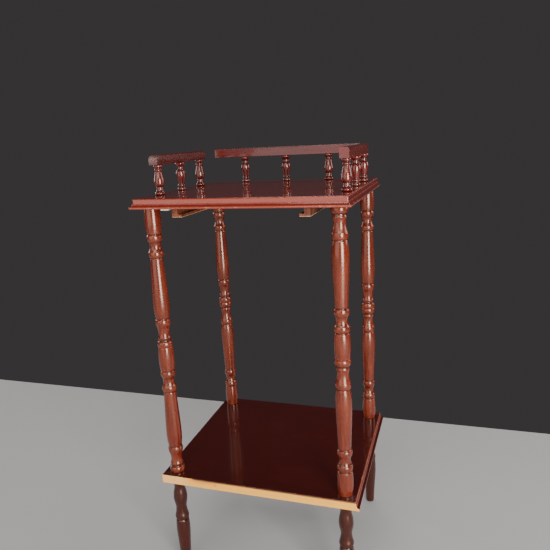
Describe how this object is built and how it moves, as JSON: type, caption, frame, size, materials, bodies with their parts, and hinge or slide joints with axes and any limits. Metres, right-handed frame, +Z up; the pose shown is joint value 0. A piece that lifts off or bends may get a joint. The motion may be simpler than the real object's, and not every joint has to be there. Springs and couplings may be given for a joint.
{
  "type": "turned two-tier stand",
  "caption": "Small two-tier wooden stand with turned posts and legs, moulded top, low spindle gallery and drawer runners.",
  "frame": {"origin": "on the floor, under the middle of the stand's outline", "axes": "+Z up, +X to the right seen from the open front of the gallery, +Y to the back"},
  "size_m": [0.3604, 0.3254, 0.759],
  "materials": {
    "board_varnish": "dark red mahogany stain under high gloss varnish",
    "post_varnish": "red brown mahogany stain under gloss varnish",
    "leg_varnish": "dark mahogany stain under gloss varnish",
    "gallery_varnish": "red brown mahogany stain under gloss varnish",
    "runner_wood": "thinly stained softwood, satin",
    "bare_pine": "bare softwood",
    "screw_steel": "zinc plated"
  },
  "bodies": {
    "root": {"drawer_runner_left": "runner_wood", "drawer_runner_right": "runner_wood", "leg_front_left": "leg_varnish", "leg_front_right": "leg_varnish", "leg_rear_left": "leg_varnish", "leg_rear_right": "leg_varnish", "lower_board": "board_varnish", "packing_slip": "bare_pine", "post_front_left_lower": "post_varnish", "post_front_left_upper": "post_varnish", "post_front_right_lower": "post_varnish", "post_front_right_upper": "post_varnish", "post_rear_left_lower": "post_varnish", "post_rear_left_upper": "post_varnish", "post_rear_right_lower": "post_varnish", "post_rear_right_upper": "post_varnish", "rail_back": "gallery_varnish", "rail_left": "gallery_varnish", "rail_right": "gallery_varnish", "runner_screws": "screw_steel", "spindle_back_left": "gallery_varnish", "spindle_back_middle": "gallery_varnish", "spindle_back_right": "gallery_varnish", "spindle_left_front": "gallery_varnish", "spindle_left_middle": "gallery_varnish", "spindle_left_rear": "gallery_varnish", "spindle_right_front": "gallery_varnish", "spindle_right_middle": "gallery_varnish", "spindle_right_rear": "gallery_varnish", "studs_leg_to_post": "screw_steel", "studs_post_middle": "screw_steel", "studs_post_to_top": "screw_steel", "top_board": "board_varnish"}
  },
  "joints": []
}
